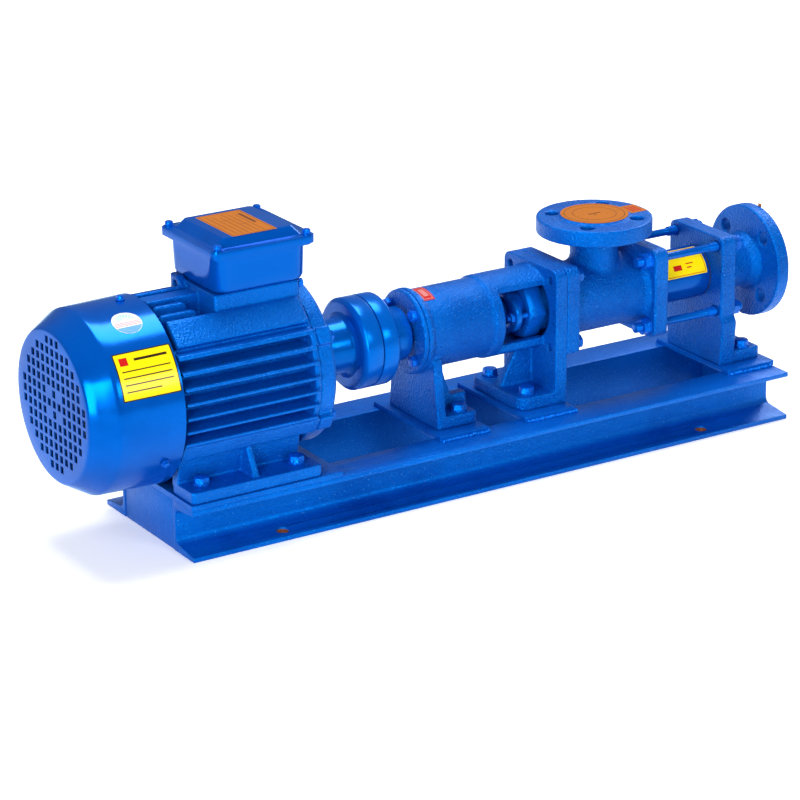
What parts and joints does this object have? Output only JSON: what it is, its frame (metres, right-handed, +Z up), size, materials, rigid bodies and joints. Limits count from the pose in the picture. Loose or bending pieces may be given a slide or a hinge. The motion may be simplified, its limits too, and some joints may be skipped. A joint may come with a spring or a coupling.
{
  "type": "progressive cavity pump",
  "caption": "Blue single-screw pump set: finned foot motor, jaw coupling, bearing bracket with open gland, flanged suction casing and bolted stator on a channel base.",
  "frame": {"origin": "centre of the four base bolt holes, on the ground under the base", "axes": "+X from the motor to the outlet flange along the shaft, +Y across towards the rear rail, +Z up"},
  "size_m": [0.8005, 0.1768, 0.2852],
  "materials": {
    "cast_paint": "gloss",
    "sheet_paint": "gloss",
    "base_paint": "gloss",
    "machined_paint": "gloss",
    "bolt_paint": "gloss",
    "core_steel": "satin",
    "copper": "satin",
    "brass": "satin",
    "bright_steel": "satin",
    "bearing_steel": "polished",
    "fan_plastic": "matte",
    "rubber": "matte",
    "block_plastic": "matte",
    "packing": "matte"
  },
  "bodies": {
    "pump_set": {"rail_front": "base_paint", "rail_rear": "base_paint", "end_plates": "base_paint", "motor_mount_plate": "base_paint", "cross_plate_pedestal": "base_paint", "cross_plate_bracket": "base_paint", "cross_plate_outlet": "base_paint", "motor_frame": "cast_paint", "stator_core": "core_steel", "stator_windings": "copper", "drive_end_shield": "cast_paint", "fan_end_shield": "cast_paint", "drive_shield_bolts": "bolt_paint", "fan_shield_bolts": "bolt_paint", "bearing_drive_end": "bearing_steel", "bearing_fan_end": "bearing_steel", "fan_cover": "sheet_paint", "fan_cover_screws": "bolt_paint", "motor_foot_bolts": "bolt_paint", "terminal_box": "sheet_paint", "terminal_gasket": "rubber", "terminal_lid": "sheet_paint", "lid_screws": "bolt_paint", "earth_screw": "bolt_paint", "terminal_block": "block_plastic", "terminal_studs": "brass", "cable_gland": "sheet_paint", "bearing_bracket": "cast_paint", "bearing_cover": "cast_paint", "bearing_cover_bolts": "bolt_paint", "pump_bearings": "bearing_steel", "bearing_spacer": "core_steel", "stuffing_box": "machined_paint", "packing_rings": "packing", "gland_studs": "bolt_paint", "suction_casing": "cast_paint", "bracket_flange_bolts": "bolt_paint", "stator_rubber": "rubber", "stator_tube": "sheet_paint", "outlet_casting": "cast_paint", "tie_rods": "machined_paint", "tie_rod_nuts": "bolt_paint", "pedestal_foot_bolts": "bolt_paint", "bracket_foot_bolts": "bolt_paint", "outlet_foot_bolts": "bolt_paint"},
    "motor_rotor": {"motor_shaft": "bright_steel", "rotor_core": "core_steel", "motor_key": "bright_steel", "cooling_fan": "fan_plastic", "coupling_half_motor": "machined_paint"},
    "pump_drive": {"drive_shaft": "bright_steel", "pump_key": "bright_steel", "coupling_half_pump": "machined_paint", "coupling_spider": "rubber"},
    "orbit_carrier": {"joint_sleeve": "rubber"},
    "pump_screw": {"pump_rotor": "bright_steel"},
    "rod": {"connecting_rod": "bright_steel", "joint_pins": "bright_steel"},
    "gland": {"gland_follower": "machined_paint", "gland_nuts": "bolt_paint"}
  },
  "joints": [
    {"name": "motor_shaft_spin", "type": "hinge", "parent": "pump_set", "child": "motor_rotor", "pos_m": [-0.2725, 0, 0.145], "axis": [1, 0, 0], "continuous": true},
    {"name": "pump_shaft_spin", "type": "hinge", "parent": "pump_set", "child": "pump_drive", "pos_m": [-0.0225, 0, 0.145], "axis": [1, 0, 0], "continuous": true},
    {"name": "rotor_orbit", "type": "hinge", "parent": "pump_set", "child": "orbit_carrier", "pos_m": [0.2035, 0, 0.145], "axis": [1, 0, 0], "continuous": true},
    {"name": "rotor_spin", "type": "hinge", "parent": "orbit_carrier", "child": "pump_screw", "pos_m": [0.2475, 0.003, 0.145], "axis": [1, 0, 0], "continuous": true},
    {"name": "rod_spin", "type": "hinge", "parent": "orbit_carrier", "child": "rod", "pos_m": [0.1255, 0, 0.145], "axis": [0.9993, 0.0384, 0], "continuous": true},
    {"name": "gland_slide", "type": "slide", "parent": "pump_set", "child": "gland", "axis": [-1, 0, 0], "range_m": [0, 0.003]}
  ],
  "couplings": [
    {"joint": "pump_shaft_spin", "follows": "motor_shaft_spin", "ratio": 1},
    {"joint": "rotor_orbit", "follows": "motor_shaft_spin", "ratio": -1},
    {"joint": "rotor_spin", "follows": "motor_shaft_spin", "ratio": 2},
    {"joint": "rod_spin", "follows": "motor_shaft_spin", "ratio": 2}
  ]
}
